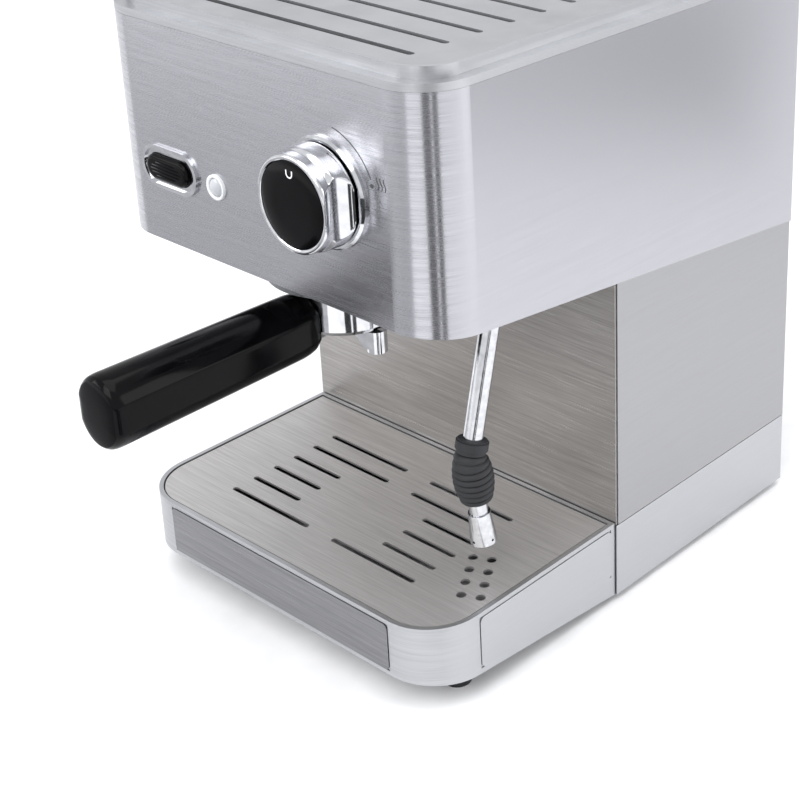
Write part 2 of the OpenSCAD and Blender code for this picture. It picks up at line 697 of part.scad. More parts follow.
module pump_piston() color("#A0A4A8") pump_axis() translate([0, 0, 26]) difference() {
    cylinder(r = 8.6, h = 22);
    translate([0, 0, -1]) cylinder(r = 2, h = 24);
}

module pump_spring() color("#C0C4C8") pump_axis() translate([0, 0, 4.2]) difference() {
    cylinder(r = 7.6, h = 21.4);
    translate([0, 0, -1]) cylinder(r = 6.2, h = 24);
}

module pump_mounts() color("#3C3E42") pump_axis()
    for (z = [4, 51]) translate([0, 0, z]) difference() {
        union() {
            cylinder(r = 17, h = 7);
            translate([-8, 0, 0]) cube([16, bay_y - wall - pump_y - 0.1, 7]);
        }
        translate([0, 0, -1]) cylinder(r = 12.05, h = 9);
    }

module tank_seat() color(black) from_front() translate([seat_at[0], seat_at[1], 0]) difference() {
    union() {
        translate([0, 0, tank_z - 2.55]) cylinder(r = 12, h = 2);
        translate([0, 0, 46]) cylinder(r = 6, h = tank_z - 47);
    }
    translate([0, 0, 40]) cylinder(r = 3, h = 40);
}

module tank_valve() color("#E8E8E4") from_front() translate([seat_at[0], seat_at[1], tank_z - 0.45])
    difference() {
        union() {
            cylinder(r = 9, h = 1.4);
            cylinder(r = 3.9, h = 4);
            translate([0, 0, 3.3]) cylinder(r = 9, h = 10);
        }
        translate([0, 0, 4.5]) cylinder(r = 7.8, h = 7.6);
        translate([0, 0, -1]) cylinder(r = 2.6, h = 8);
        for (a = [0 : 45 : 315]) rotate([0, 0, a]) translate([4, -1, 5.2]) cube([8, 2, 6]);
    }

pin_y = body_d - 5.6;                    // hinge pin of the tank's lid
pin_z = body_h - 2.6;

module water_tank() color("#C8D8E4", 0.5) from_front() {
    depth = body_d - wall - bay_y - 3;
    top = body_h - 8;
    difference() {
        union() {
            translate([0, bay_y + 1.5 + depth / 2, tank_z + 1]) linear_extrude(top - tank_z - 1)
                round_rect(tank_w, depth, 10);
            // ears that hold the lid's pin
            for (s = [-1, 1]) translate([s * 63.5 - 2.5, pin_y - 2.6, top - 6])
                cube([5, 5.2, body_h - top + 5.6]);
        }
        translate([0, bay_y + 1.5 + depth / 2, tank_z + 2.8]) linear_extrude(top - tank_z)
            round_rect(tank_w - 4, depth - 4, 8);
        translate([-70, pin_y, pin_z]) rotate([0, 90, 0]) cylinder(r = 1.56, h = 140);
        translate([seat_at[0], seat_at[1], tank_z - 1]) cylinder(r = 4, h = 10);
    }
}

module tank_lid() color(black) from_front() {
    y0 = bay_y + 0.5;
    difference() {
        union() {
            translate([-head_w / 2 + 0.2, y0, body_h - 3.8]) cube([head_w - 0.4, pin_y - y0 - 3, 3.8]);
            translate([-tank_w / 2 + 6, y0 + 5, body_h - 8]) cube([tank_w - 12, pin_y - y0 - 14, 4.3]);
            for (s = [-1, 1]) translate([s * 45 - 15, pin_y, pin_z]) rotate([0, 90, 0]) cylinder(r = 2.5, h = 30);
            for (s = [-1, 1]) translate([s * 45 - 15, pin_y - 4, body_h - 3.6]) cube([30, 3.4, 3.5]);
        }
        // finger notch at the front edge
        translate([-20, y0 + 3, body_h + 6]) rotate([0, 90, 0]) cylinder(r = 8, h = 40);
        translate([-tank_w / 2 + 8, y0 + 7, body_h - 9]) cube([tank_w - 16, pin_y - y0 - 18, 5.2]);
        translate([-70, pin_y, pin_z]) rotate([0, 90, 0]) cylinder(r = 1.56, h = 140);
        // notches that let the lid swing past the ears
        for (s = [-1, 1]) translate([s * 63.5 - 3.2, pin_y - 5, body_h - 4]) cube([6.4, 3, 5]);
    }
}

module lid_pin() color("#90949A") from_front()
    translate([-66, pin_y, pin_z]) rotate([0, 90, 0]) cylinder(r = 1.5, h = 132);

module suction_hose() color("#D8DCE0", 0.7) from_front()
    pipe([[-30, 245, 45.9], [-30, 245, 30], [-30, pump_y, 30], [-30, pump_y, pump_z - 12.1]], 4);

module pressure_hose() color("#C87848") from_front()
    pipe([[-30, pump_y, pump_z + 74.1], [-30, pump_y, 232], [-30, 110, 262], [0, brew_y + 20, 262],
          [0, brew_y + 20, boiler_split + 19.6]], 3);

module steam_pipe() color("#B87848") from_front() {
    pipe([[14, brew_y - 14, boiler_split + 19.6], [14, brew_y - 14, knob_z], [knob_x - 12.6, 42, knob_z]], 2.5);
    pipe([[knob_x, 40.5, knob_z - 14.1], [knob_x, 40.5, 230], [wand_x, 40.5, 230],
          [wand_x, ball_y, 230], [wand_x, ball_y, ball_z + ball_r + 1.4]], 2.5);
}

module cord_gland() color(black) from_front() translate([-34, body_d, 28]) rotate([90, 0, 0]) difference() {
    union() {
        translate([0, 0, -4.6]) cylinder(r = 9, h = 4.75);
        translate([0, 0, -gland_out]) cylinder(r = 6, h = 4);
        cylinder(r = 7, h = wall + 1);
        translate([0, 0, wall + 0.2]) cylinder(r = 9, h = 2.4);
    }
    translate([0, 0, -9]) cylinder(r = 3.6, h = 20);
}

module control_board() color("#2E6B45") from_front() {
    translate([20, bay_y - wall - 8, 90]) cube([70, 1.6, 90]);
    for (x = [26, 84], z = [96, 174]) translate([x, bay_y - wall - 0.05, z]) rotate([90, 0, 0])
        cylinder(r = 2.6, h = 6.3, $fn = 24);
    for (i = [0 : 2]) translate([30 + i * 18, bay_y - wall - 22, 100 + i * 24]) cube([14, 14.1, 20]);
}

module wiring() color("#B8402E") from_front() {
    pipe([[-34, body_d - 8.5, 28], [-34, 262, 28], [40, 240, 26], [60, 205, 40], [60, 205, 89.9]], 3);
    pipe([[60, 203, 180.5], [60, 198, 230], [-60, 190, 280], [button_x, 60, 280],
          [button_x, front_y + 40, button_z], [button_x, front_y + 30.1, button_z]], 2);
}

base_pan();
feet();
column_shell();
column_plate();
head_shell();
head_floor();
warming_deck();
drip_tray();
tray_front_plate();
tray_side_plates();
drip_plate();
group_ring();
group_gasket();
group_bolts();
shower_screen();
shower_screw();
boiler_lower();
boiler_upper();
boiler_seal();
boiler_bolts();
heating_element();
thermostats();
portafilter_bowl();
filter_basket();
double_spout();
portafilter_handle();
handle_bolt();
dial_ring();
knob_body();
knob_cap();
valve_spindle();
valve_body();
button_bezel();
button_cap();
switch_body();
lamp_lens();
lamp_holder();
wand_socket();
wand_tube();
wand_grip();
wand_tip();
pump_body();
pump_piston();
pump_spring();
pump_mounts();
suction_hose();
pressure_hose();
steam_pipe();
water_tank();
tank_valve();
tank_seat();
tank_lid();
lid_pin();
rear_cover();
cord_gland();
control_board();
wiring();
case_screws();
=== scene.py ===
"""Visual model of a pump espresso machine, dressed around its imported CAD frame.

Every length is in metres in the frame of the CAD model: X to the right seen from the front,
Y to the back, Z up, the origin on the table under the middle of the plan.
"""

import logging
import math
from dataclasses import dataclass
from enum import Enum
from typing import Optional, Sequence

import bmesh
import bpy
from mathutils import Matrix, Vector

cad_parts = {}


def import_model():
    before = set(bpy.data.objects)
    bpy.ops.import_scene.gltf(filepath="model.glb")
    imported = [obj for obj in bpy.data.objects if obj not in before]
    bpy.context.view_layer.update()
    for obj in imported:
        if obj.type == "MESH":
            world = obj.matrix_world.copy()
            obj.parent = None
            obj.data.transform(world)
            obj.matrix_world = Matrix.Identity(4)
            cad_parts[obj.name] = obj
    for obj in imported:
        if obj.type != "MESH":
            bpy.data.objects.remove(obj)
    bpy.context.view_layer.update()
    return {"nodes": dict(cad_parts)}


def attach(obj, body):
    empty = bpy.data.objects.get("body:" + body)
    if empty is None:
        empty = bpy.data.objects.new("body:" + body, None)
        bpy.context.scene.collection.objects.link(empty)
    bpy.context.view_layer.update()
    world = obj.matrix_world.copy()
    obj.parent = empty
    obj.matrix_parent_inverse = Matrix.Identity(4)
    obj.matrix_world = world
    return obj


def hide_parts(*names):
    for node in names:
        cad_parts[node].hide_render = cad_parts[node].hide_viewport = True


LOG = logging.getLogger("espresso_machine")
MM = 0.001
FRONT = -104.0 * MM  # where the tray's front edge stands along Y
PANEL_SET_BACK = 10.5 * MM  # the head's face stands this far behind the tray's front edge
QUARTER_TURN = 0.25  # in whole turns

Point = tuple[float, float, float]


class Grain(Enum):
    """Direction in which a sheet was brushed, as lines per metre along X, Y and Z."""

    LEVEL = (45.0, 45.0, 2200.0)  # level lines that run round an upright wall
    ACROSS = (45.0, 2200.0, 2200.0)  # lines along X on a flat top


def hex_linear(code: str) -> tuple[float, float, float, float]:
    """Turns an sRGB hex colour into linear values.

    Args:
        code: Six hex digits, such as "B8B8BA".

    Returns:
        Red, green, blue and an alpha of 1.
    """
    values = [int(code[i : i + 2], 16) / 255 for i in (0, 2, 4)]
    linear = [v / 12.92 if v <= 0.04045 else ((v + 0.055) / 1.055) ** 2.4 for v in values]
    return (linear[0], linear[1], linear[2], 1.0)


def add_node(
    tree: bpy.types.NodeTree, kind: str, inputs: Optional[dict] = None, **settings: object
) -> bpy.types.Node:
    """Adds one shader node with its settings and links.

    Args:
        tree: Node tree that gets the node.
        kind: Blender's name of the node type.
        inputs: Value, or output socket to link, for each input by name or index.
        **settings: Attributes of the node itself.

    Returns:
        The new node.
    """
    node = tree.nodes.new(kind)
    for name, value in settings.items():
        setattr(node, name, value)
    for name, value in (inputs or {}).items():
        if isinstance(value, bpy.types.NodeSocket):
            tree.links.new(value, node.inputs[name])
        else:
            node.inputs[name].default_value = value
    return node


def new_surface(name: str) -> tuple[bpy.types.Material, bpy.types.NodeTree, bpy.types.Node]:
    """Starts a node material with a principled surface.

    Args:
        name: Name of the real material and of its surface process.

    Returns:
        The material, its node tree and its principled shader.
    """
    material = bpy.data.materials.new(name)
    material.use_nodes = True
    tree = material.node_tree
    shader = next(n for n in tree.nodes if n.type == "BSDF_PRINCIPLED")
    return material, tree, shader


def shade_range(
    tree: bpy.types.NodeTree,
    driver: bpy.types.NodeSocket,
    low: object,
    high: object,
    start: float = 0.3,
    end: float = 0.7,
) -> bpy.types.Node:
    """Spreads a pattern between two colours or two greys.

    Args:
        tree: Node tree that gets the ramp.
        driver: Pattern that is spread.
        low: Colour at the pattern's low end.
        high: Colour at the pattern's high end.
        start: Pattern value of the low end.
        end: Pattern value of the high end.

    Returns:
        The colour ramp.
    """
    ramp = add_node(tree, "ShaderNodeValToRGB", {"Fac": driver})
    first, last = ramp.color_ramp.elements
    first.position, last.position = start, end
    first.color = low if isinstance(low, tuple) else (low, low, low, 1.0)
    last.color = high if isinstance(high, tuple) else (high, high, high, 1.0)
    return ramp


@dataclass(frozen=True)
class BrushedSheet:
    """Stainless sheet brushed with a belt: fine parallel scratches that smear the reflections."""

    name: str
    dark: str
    light: str
    grain: Grain
    rough: float = 0.27
    anisotropy: float = 0.55
    metallic: float = 1.0
    bump: float = 0.2
    depth_mm: float = 0.02
    # The broad belt marks: their size against the fine scratches, and their share of the pattern
    broad_scale: float = 0.3
    broad_share: float = 0.45
    # How much duller the low marks are, and how much brighter the high ones
    duller: float = 0.07
    brighter: float = 0.05

    def scratches(
        self, tree: bpy.types.NodeTree, place: bpy.types.NodeSocket, scale: float, detail: float
    ) -> bpy.types.Node:
        """Drags a noise out along the brushing.

        Args:
            tree: Node tree of the material.
            place: Position on the object.
            scale: Scratches per length, against the finest ones.
            detail: Octaves of the noise.

        Returns:
            The noise node.
        """
        lines = tuple(v * scale for v in self.grain.value)
        along = add_node(tree, "ShaderNodeMapping", {"Vector": place, "Scale": lines})
        inputs = {"Vector": along.outputs[0], "Scale": 1.0, "Detail": detail}
        return add_node(tree, "ShaderNodeTexNoise", inputs)

    def material(self) -> bpy.types.Material:
        """Builds the brushed surface.

        Returns:
            The material.
        """
        material, tree, shader = new_surface(self.name)
        place = add_node(tree, "ShaderNodeTexCoord").outputs["Object"]
        fine = self.scratches(tree, place, 1.0, 3.0)
        bands = self.scratches(tree, place, self.broad_scale, 4.0)
        both = add_node(
            tree,
            "ShaderNodeMix",
            {"Factor": self.broad_share, 2: fine.outputs[0], 3: bands.outputs[0]},
            data_type="FLOAT",
        )
        # walls that face sideways get calmer scratches and a painted sheen: a lighter, even tone
        if self.grain is Grain.LEVEL:
            both = self.calm_and_sheen_sides(tree, both.outputs[0])
        colour = shade_range(tree, both.outputs[0], hex_linear(self.dark), hex_linear(self.light))
        tree.links.new(colour.outputs[0], shader.inputs["Base Color"])
        rough = shade_range(tree, both.outputs[0], self.rough + self.duller, self.rough - self.brighter)
        tree.links.new(rough.outputs[0], shader.inputs["Roughness"])
        bump = add_node(
            tree,
            "ShaderNodeBump",
            {"Height": both.outputs[0], "Strength": self.bump, "Distance": self.depth_mm * MM},
        )
        tree.links.new(bump.outputs[0], shader.inputs["Normal"])
        tangent = add_node(tree, "ShaderNodeTangent", direction_type="RADIAL", axis="Z")
        tree.links.new(tangent.outputs[0], shader.inputs["Tangent"])
        shader.inputs["Metallic"].default_value = self.metallic
        shader.inputs["Anisotropic"].default_value = self.anisotropy if self.grain is Grain.LEVEL else 0.0
        # the smear runs across the scratches, a quarter turn from the level tangent
        shader.inputs["Anisotropic Rotation"].default_value = QUARTER_TURN
        return material

    def calm_and_sheen_sides(self, tree: bpy.types.NodeTree, pattern: bpy.types.NodeSocket) -> bpy.types.Node:
        """Fades the scratches on walls that face left or right and lifts them to a lighter even tone, a
        painted sheen for the bright reflection these walls catch.

        Args:
            tree: Node tree of the material.
            pattern: Scratch pattern.

        Returns:
            Node whose output is the calmer, lighter pattern.
        """
        facing = add_node(tree, "ShaderNodeNewGeometry").outputs["Normal"]
        parts = add_node(tree, "ShaderNodeSeparateXYZ", {"Vector": facing})
        sideways = add_node(tree, "ShaderNodeMath", {0: parts.outputs["X"]}, operation="ABSOLUTE")
        # the fade starts where a wall turns sideways; the last value is the lighter even tone it fades to, a
        # painted sheen
        begins, ends, strongest, even = 0.8, 0.97, 0.82, 0.62
        reach = {"From Min": begins, "From Max": ends, "To Min": 0.0, "To Max": strongest}
        side_sheen_mask = add_node(tree, "ShaderNodeMapRange", {"Value": sideways.outputs[0], **reach})
        mixed = {"Factor": side_sheen_mask.outputs[0], 2: pattern, 3: even}
        return add_node(tree, "ShaderNodeMix", mixed, data_type="FLOAT")


@dataclass(frozen=True)
class BareMetal:
    """Polished, plated, turned or cast metal with faint wipe marks or grain."""

    name: str
    dark: str
    light: str
    rough: float
    grain_mm: float = 6.0
    depth_mm: float = 0.0
    bump: float = 0.5
    # Roughness of the brightest and the dullest spots, against the mean
    brightest: float = 0.75
    dullest: float = 1.4

    def material(self) -> bpy.types.Material:
        """Builds the metal surface.

        Returns:
            The material.
        """
        material, tree, shader = new_surface(self.name)
        place = add_node(tree, "ShaderNodeTexCoord").outputs["Object"]
        cloud = add_node(
            tree, "ShaderNodeTexNoise", {"Vector": place, "Scale": 1 / (self.grain_mm * MM), "Detail": 5.0}
        )
        colour = shade_range(tree, cloud.outputs[0], hex_linear(self.dark), hex_linear(self.light))
        tree.links.new(colour.outputs[0], shader.inputs["Base Color"])
        rough = shade_range(tree, cloud.outputs[0], self.rough * self.brightest, self.rough * self.dullest)
        tree.links.new(rough.outputs[0], shader.inputs["Roughness"])
        shader.inputs["Metallic"].default_value = 1.0
        if self.depth_mm:
            bump = add_node(
                tree,
                "ShaderNodeBump",
                {"Height": cloud.outputs[0], "Strength": self.bump, "Distance": self.depth_mm * MM},
            )
            tree.links.new(bump.outputs[0], shader.inputs["Normal"])
        return material


@dataclass(frozen=True)
class Moulded:
    """Plastic or rubber out of a mould: a fine spark texture and slight colour change."""

    name: str
    dark: str
    light: str
    rough: float
    texture_mm: float = 0.8
    depth_mm: float = 0.02
    ior: float = 1.5
    clear: float = 0.0
    mirror: float = 0.5
    cloud_mm: float = 25.0
    bump: float = 0.4
    # Roughness of the brightest and the dullest spots, against the mean
    brightest: float = 0.85
    dullest: float = 1.2

    def material(self) -> bpy.types.Material:
        """Builds the moulded surface.

        Returns:
            The material.
        """
        material, tree, shader = new_surface(self.name)
        place = add_node(tree, "ShaderNodeTexCoord").outputs["Object"]
        speck = add_node(
            tree, "ShaderNodeTexNoise", {"Vector": place, "Scale": 1 / (self.texture_mm * MM), "Detail": 4.0}
        )
        cloud = add_node(
            tree, "ShaderNodeTexNoise", {"Vector": place, "Scale": 1 / (self.cloud_mm * MM), "Detail": 3.0}
        )
        colour = shade_range(tree, cloud.outputs[0], hex_linear(self.dark), hex_linear(self.light))
        tree.links.new(colour.outputs[0], shader.inputs["Base Color"])
        rough = shade_range(tree, cloud.outputs[0], self.rough * self.brightest, self.rough * self.dullest)
        tree.links.new(rough.outputs[0], shader.inputs["Roughness"])
        bump = add_node(
            tree,
            "ShaderNodeBump",
            {"Height": speck.outputs[0], "Strength": self.bump, "Distance": self.depth_mm * MM},
        )
        tree.links.new(bump.outputs[0], shader.inputs["Normal"])
        shader.inputs["IOR"].default_value = self.ior
        shader.inputs["Transmission Weight"].default_value = self.clear
        shader.inputs["Specular IOR Level"].default_value = self.mirror
        return material


# Stainless sheet, belt brushed level: soft level scratches round the head.
HEAD_STEEL = BrushedSheet(
    "stainless_steel_brushed_level",
    "A0A0A5",
    "BEBEC3",
    Grain.LEVEL,
    rough=0.25,
    anisotropy=0.8,
    metallic=0.97,
)
# Stainless sheet, brushed level and a touch darker: the plate behind the cups.
BACK_STEEL = BrushedSheet("stainless_steel_brushed_back_plate", "8A8785", "A7A4A1", Grain.LEVEL, rough=0.3)
# Stainless sheet, brushed level and toned darker than its neighbours: painted shade for the dim reflection
# along the tray's front.
SHADED_FRONT_STEEL = BrushedSheet("stainless_steel_brushed_tray_front_painted_shade", "78787B", "929295", Grain.LEVEL, rough=0.3)
# Stainless sheet, brushed across: the flat top under the cups.
TOP_STEEL = BrushedSheet(
    "stainless_steel_brushed_across", "B4B2B1", "D0CECD", Grain.ACROSS, rough=0.5, metallic=0.85
)
# Stainless sheet, finely brushed and lacquered: the light walls of base and tray.
SIDE_STEEL = BrushedSheet(
    "stainless_steel_fine_brushed_side", "ACADB0", "BEBFC2", Grain.LEVEL, rough=0.4, anisotropy=0.3
)
# Stainless sheet, finely brushed: the column's walls, a shade darker.
COLUMN_STEEL = BrushedSheet(
    "stainless_steel_fine_brushed_column", "98989A", "AAAAAC", Grain.LEVEL, rough=0.4, anisotropy=0.3
)
# Zinc casting, chrome plated and polished: mirror-bright knob, rings and bowl.
CHROME = BareMetal("zinc_casting_chrome_polished", "C4C5C8", "E2E3E6", 0.07)
# Steel tube, drawn and polished: the wand.
TUBE_STEEL = BareMetal("stainless_tube_polished", "C2C3C6", "DCDDE0", 0.13, grain_mm=3.0)
# Aluminium, pressure cast: dull grainy grey.
CAST = BareMetal("aluminium_pressure_cast", "77797C", "97999C", 0.5, grain_mm=1.2, depth_mm=0.08)
# Steel fasteners, zinc plated: cool half-dull grey.
ZINC = BareMetal("steel_zinc_plated", "8C9094", "B2B6BA", 0.32, grain_mm=1.5, depth_mm=0.01)
# Brass, turned: warm and smooth.
BRASS = BareMetal("brass_turned", "9C8048", "C4A868", 0.25, grain_mm=1.0, depth_mm=0.01)
# Phenolic, compression moulded and polished: deep glossy black.
GLOSS_BLACK = Moulded(
    "phenolic_moulded_polished", "040405", "0A0A0C", 0.14, texture_mm=6.0, depth_mm=0.01, mirror=0.1
)
# ABS, moulded with a spark texture: matt black.
MATT_BLACK = Moulded("abs_moulded_spark_texture", "121214", "1C1C1F", 0.55)
# Natural rubber, moulded: dusty soft black.
RUBBER = Moulded("rubber_moulded", "17181B", "26272B", 0.62, texture_mm=0.6, depth_mm=0.03)
# Silicone, moulded: warm red-brown.
SILICONE = Moulded("silicone_moulded", "8A3E28", "A85438", 0.5, texture_mm=1.0)
# Nylon, moulded: off-white.
NYLON = Moulded("nylon_moulded", "D4D4CE", "ECECE6", 0.45, texture_mm=1.0)
# Styrene copolymer, moulded clear: the water tank.
CLEAR = Moulded(
    "san_moulded_clear", "E0EAEE", "EAF1F4", 0.08, texture_mm=5.0, depth_mm=0.01, ior=1.57, clear=0.9
)
# Polycarbonate, moulded milky: the lamp's rim.
LENS = Moulded(
    "polycarbonate_moulded_milky", "DCDEE0", "F6F7F8", 0.15, texture_mm=3.0, depth_mm=0.01, clear=0.2
)
# Polycarbonate, moulded: an opaque glossy grey eye, its grey a painted reflection standing in for the
# reflector seen through a clear dome.
EYE = Moulded(
    "polycarbonate_moulded_eye_painted_reflector",
    "8E9196",
    "C8CACE",
    0.06,
    texture_mm=1.2,
    depth_mm=0.02,
    mirror=0.8,
)
# Glass-epoxy laminate, lacquered: green board.
BOARD = Moulded("glass_epoxy_lacquered", "174A2E", "23683F", 0.3, texture_mm=0.5)
# Ink, pad printed: thin dull grey marks on the panel.
INK = Moulded("ink_pad_printed", "3A3A3E", "4A4A4E", 0.6, texture_mm=0.3, depth_mm=0.005)
# Enamel, filled: the pale pointer on the disc.
ENAMEL = Moulded("enamel_filled", "D8D8DA", "ECECEE", 0.35, texture_mm=0.3, depth_mm=0.005)
# PVC, extruded: red wire jackets.
JACKET = Moulded("pvc_extruded", "8C2418", "A83424", 0.4, texture_mm=1.0)

FINISHES: dict[str, tuple[object, tuple[str, ...]]] = {
    "head": (HEAD_STEEL, ("head_shell",)),
    "tray_front": (SHADED_FRONT_STEEL, ("tray_front_plate",)),
    "back": (BACK_STEEL, ("column_plate",)),
    "top": (TOP_STEEL, ("drip_plate",)),
    "side": (SIDE_STEEL, ("base_pan", "drip_tray", "tray_side_plates", "warming_deck")),
    "column": (COLUMN_STEEL, ("column_shell",)),
    "chrome": (
        CHROME,
        (
            "portafilter_bowl",
            "double_spout",
            "dial_ring",
            "knob_body",
            "button_bezel",
            "shower_screen",
            "filter_basket",
        ),
    ),
    "tube": (TUBE_STEEL, ("wand_tube", "wand_tip")),
    "cast": (CAST, ("group_ring", "boiler_lower", "boiler_upper")),
    "zinc": (
        ZINC,
        (
            "group_bolts",
            "shower_screw",
            "boiler_bolts",
            "heating_element",
            "handle_bolt",
            "pump_piston",
            "pump_spring",
            "lid_pin",
            "case_screws",
        ),
    ),
    "brass": (BRASS, ("valve_spindle", "valve_body", "steam_pipe")),
    "gloss": (GLOSS_BLACK, ("portafilter_handle", "knob_cap", "button_cap")),
    "matt": (
        MATT_BLACK,
        (
            "head_floor",
            "thermostats",
            "switch_body",
            "lamp_holder",
            "wand_socket",
            "pump_body",
            "tank_lid",
            "rear_cover",
            "cord_gland",
        ),
    ),
    "rubber": (RUBBER, ("feet", "wand_grip", "pump_mounts", "tank_seat")),
    "silicone": (SILICONE, ("group_gasket", "boiler_seal", "suction_hose")),
    "nylon": (NYLON, ("pressure_hose", "tank_valve")),
    "clear": (CLEAR, ("water_tank",)),
    "lens": (LENS, ("lamp_lens",)),
    "eye": (EYE, ()),
    "board": (BOARD, ("control_board",)),
    "jacket": (JACKET, ("wiring",)),
    "ink": (INK, ()),
    "print": (ENAMEL, ()),
}


def dress(piece: bpy.types.Object, material: bpy.types.Material) -> None:
    """Gives a piece one material in place of what it had."""
    piece.data.materials.clear()
    piece.data.materials.append(material)


def carried_materials(nodes: dict[str, bpy.types.Object]) -> dict[str, bpy.types.Material]:
    """Makes every finish and puts it on the CAD nodes that it belongs to.

    Args:
        nodes: CAD nodes by name.

    Returns:
        The materials by the short name of their finish.
    """
    made: dict[str, bpy.types.Material] = {}
    for key, (finish, names) in FINISHES.items():
        made[key] = finish.material()
        for name in names:
            dress(nodes[name], made[key])
    return made


def mesh_piece(
    name: str, points: Sequence[Point], faces: Sequence[Sequence[int]], crease: float = 40.0
) -> bpy.types.Object:
    """Makes a smooth-shaded piece whose creases stay sharp.

    Args:
        name: Name of the piece.
        points: Its points in the machine's frame.
        faces: Its faces as rows of point numbers.
        crease: Angle in degrees above which an edge stays sharp.

    Returns:
        The new object.
    """
    mesh = bpy.data.meshes.new(name)
    mesh.from_pydata(points, [], faces)
    shaper = bmesh.new()
    shaper.from_mesh(mesh)
    bmesh.ops.recalc_face_normals(shaper, faces=shaper.faces)
    shaper.to_mesh(mesh)
    shaper.free()
    for face in mesh.polygons:
        face.use_smooth = True
    mesh.set_sharp_from_angle(angle=math.radians(crease))
    piece = bpy.data.objects.new(name, mesh)
    bpy.context.scene.collection.objects.link(piece)
    return piece


def loft(name: str, rings: Sequence[Sequence[Point]], crease: float = 40.0) -> bpy.types.Object:
    """Skins a row of closed rings and closes both ends with a fan.

    Args:
        name: Name of the piece.
        rings: Rings with the same number of points each.
        crease: Angle in degrees above which an edge stays sharp.

    Returns:
        The new object.
    """
    count = len(rings[0])
    points: list[Point] = [p for ring in rings for p in ring]
    faces: list[tuple[int, ...]] = []
    for k in range(len(rings) - 1):
        for i in range(count):
            j = (i + 1) % count
            faces.append((k * count + i, k * count + j, (k + 1) * count + j, (k + 1) * count + i))
    for k in (0, len(rings) - 1):
        middle = sum((Vector(p) for p in rings[k]), Vector()) / count
        points.append(tuple(middle))
        for i in range(count):
            faces.append((k * count + i, k * count + (i + 1) % count, len(points) - 1))
    return mesh_piece(name, points, faces, crease)


def lathe(
    name: str, profile: Sequence[tuple[float, float]], place: Matrix, sides: int = 96, crease: float = 40.0
) -> bpy.types.Object:
    """Turns a profile about its axis.

    Args:
        name: Name of the piece.
        profile: Radius and height of each ring, in metres.
        place: Where the axis stands; its local Z is the axis.
        sides: Number of points round the axis.
        crease: Angle in degrees above which an edge stays sharp.

    Returns:
        The new object.
    """
    rings = []
    for radius, height in profile:
        turn = [2 * math.pi * i / sides for i in range(sides)]
        ring = [Vector((radius * math.cos(a), radius * math.sin(a), height)) for a in turn]
        rings.append([tuple(place @ point) for point in ring])
    return loft(name, rings, crease)


def metres(profile: Sequence[tuple[float, float]]) -> list[tuple[float, float]]:
    """Turns rows of two lengths in millimetres into metres."""
    return [(first * MM, second * MM) for first, second in profile]


def panel_place(x: float, z: float) -> Matrix:
    """Frame on the front panel: local X to the right, local Y up, local Z towards the user."""
    return Matrix(((1, 0, 0, x), (0, 0, -1, FRONT + PANEL_SET_BACK), (0, 1, 0, z), (0, 0, 0, 1)))


def stadium(length: float, width: float, steps: int = 16) -> list[tuple[float, float]]:
    """Outline of a slot with round ends.

    Args:
        length: Whole length.
        width: Whole width.
        steps: Points round each end.

    Returns:
        Points round the outline.
    """
    outline = []
    for side in (1, -1):
        for i in range(steps + 1):
            angle = math.radians(-90 + 180 * i / steps)
            x = (length - width) / 2 + width / 2 * math.cos(angle)
            outline.append((side * x, side * width / 2 * math.sin(angle)))
    return outline


def finish_piece(
    piece: bpy.types.Object,
    material: bpy.types.Material,
    body: str,
    stands_for: Sequence[str] = (),
) -> None:
    """Dresses a piece and tells the frame what it rides on and stands for.

    Args:
        piece: Piece that is ready in its place.
        material: Material that it gets.
        body: CAD body that carries it.
        stands_for: CAD nodes that it replaces.
    """
    dress(piece, material)
    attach(piece, body)
    if stands_for:
        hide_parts(*stands_for)
    LOG.info("%s rides on %s", piece.name, body)


@dataclass
class Handle:
    """Black moulded portafilter handle: an upright oval with flat sides and a domed end."""

    # Half sizes of the oval, and how far out its flat sides lie
    half_width: float = 16.0 * MM
    half_height: float = 18.6 * MM
    flat: float = 14.7 * MM
    # Height of its axis, its far end, and the bowl that its face is hollowed for
    axis_z: float = 171.0 * MM
    end_y: float = FRONT - 90.0 * MM
    bowl_y: float = FRONT + 60.0 * MM
    bowl_clear: float = 29.4 * MM
    sides: int = 96
    # Distance from the end in millimetres, and share of the full section
    stations: tuple[tuple[float, float], ...] = (
        (0.1, 0.30), (0.45, 0.62), (1.0, 0.80), (1.5, 0.875), (2.4, 0.93), (3.6, 0.97), (5.4, 0.993),
        (7.5, 1.0), (30.0, 0.985), (70.0, 0.96), (104.0, 0.935), (114.0, 0.925), (118.0, 0.90),
        (121.0, 0.86), (122.9, 0.80),
    )
    # Shares of the last section that close the face against the bowl
    closing: tuple[float, ...] = (0.7, 0.35)

    def section(self, share: float) -> list[tuple[float, float]]:
        """Points of the flat-sided oval.

        Args:
            share: Share of the full section.

        Returns:
            Sideways and upward distances from the handle's axis.
        """
        points = []
        for i in range(self.sides):
            angle = 2 * math.pi * i / self.sides
            x = self.half_width * math.cos(angle)
            z = self.half_height * math.sin(angle)
            points.append((share * max(-self.flat, min(self.flat, x)), share * z))
        return points

    def hug(self, x: float) -> float:
        """Place along Y where the handle meets the bowl."""
        return self.bowl_y - math.sqrt(self.bowl_clear**2 - x * x)

    def build(self, materials: dict[str, bpy.types.Material]) -> None:
        """Builds the handle round the CAD neck.

        Args:
            materials: Materials by the short name of their finish.
        """
        rings = []
        for distance, share in self.stations:
            start = self.end_y + distance * MM
            rings.append([(x, min(start, self.hug(x)), self.axis_z + z) for x, z in self.section(share)])
        last = rings[-1]
        for share in self.closing:
            ring = [(x * share, self.axis_z + (z - self.axis_z) * share) for x, _, z in last]
            rings.append([(x, self.hug(x), z) for x, z in ring])
        piece = loft("handle_grip", rings, crease=18.0)
        finish_piece(piece, materials["gloss"], "portafilter", ["portafilter_handle"])


